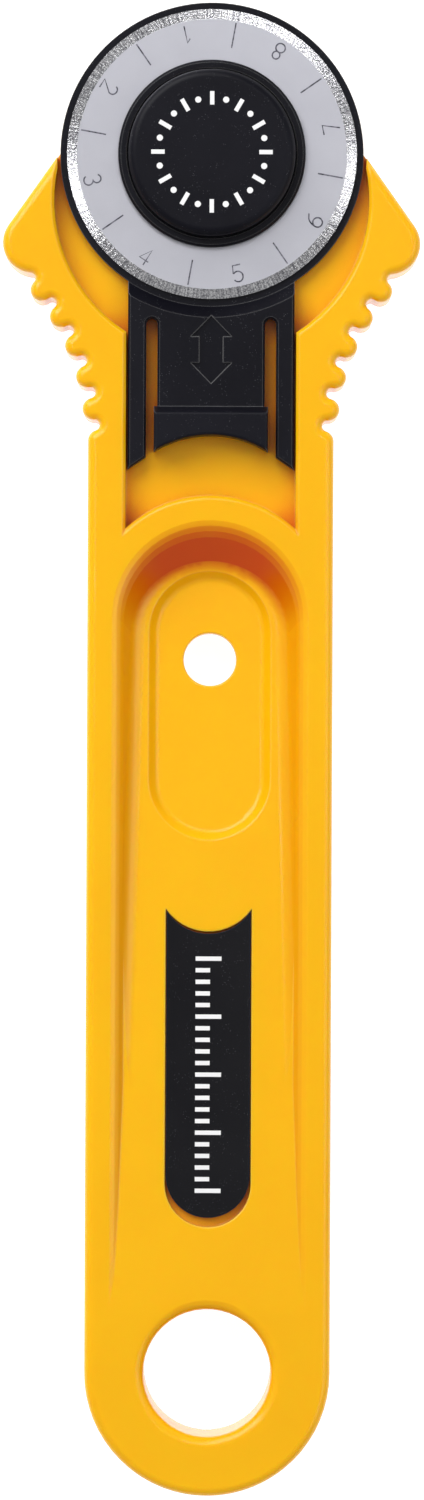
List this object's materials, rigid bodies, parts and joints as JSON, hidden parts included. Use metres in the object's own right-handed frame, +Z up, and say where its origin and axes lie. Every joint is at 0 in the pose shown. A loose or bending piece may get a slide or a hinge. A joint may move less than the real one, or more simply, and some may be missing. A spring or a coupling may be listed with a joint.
{
  "type": "rotary cutter",
  "caption": "Hand-held rotary cutter with a round bevelled blade under a cap, a sliding blade guard with a thumb ridge, and a long handle with finger notches and a hanging hole.",
  "frame": {"origin": "centre of the object's footprint, on the surface that its back rim rests on", "axes": "+Z up out of the front face, along the blade's axis; +Y along the handle towards the blade; +X to the right"},
  "size_m": [0.0402, 0.1442, 0.0121],
  "materials": {
    "yellow_plastic": "glossy injection-moulded plastic, warm yellow",
    "black_plastic": "black plastic with a fine satin texture",
    "black_label": "black plate with plain white printed marks",
    "blade_steel": "bright ground tool steel with an etched dial",
    "plated_steel": "zinc-plated steel"
  },
  "bodies": {
    "handle": {"handle": "yellow_plastic", "label_plate": "black_label", "bolt_cap": "black_plastic", "cap_face": "black_plastic", "pivot_bolt": "plated_steel"},
    "guard": {"blade_guard": "black_plastic"},
    "blade": {"blade": "blade_steel"},
    "washers": {"flat_washer": "plated_steel", "spring_washer": "plated_steel"},
    "nut": {"nut_insert": "plated_steel", "nut_knob": "black_plastic"}
  },
  "joints": [
    {"name": "guard_slide", "type": "slide", "parent": "handle", "child": "guard", "axis": [0, -1, 0], "range_m": [0, 0.0033]},
    {"name": "blade_spin", "type": "hinge", "parent": "handle", "child": "blade", "pos_m": [0, 0.05745, 0.0089], "axis": [0, 0, 1], "continuous": true},
    {"name": "nut_lift", "type": "slide", "parent": "handle", "child": "washers", "axis": [0, 0, -1], "range_m": [0, 0.0014]},
    {"name": "nut_turn", "type": "hinge", "parent": "washers", "child": "nut", "pos_m": [0, 0.05745, 0.002], "axis": [0, 0, -1], "range_deg": [0, 720]}
  ],
  "couplings": [
    {"joint": "nut_turn", "follows": "nut_lift", "rad_per_m": 8976}
  ]
}
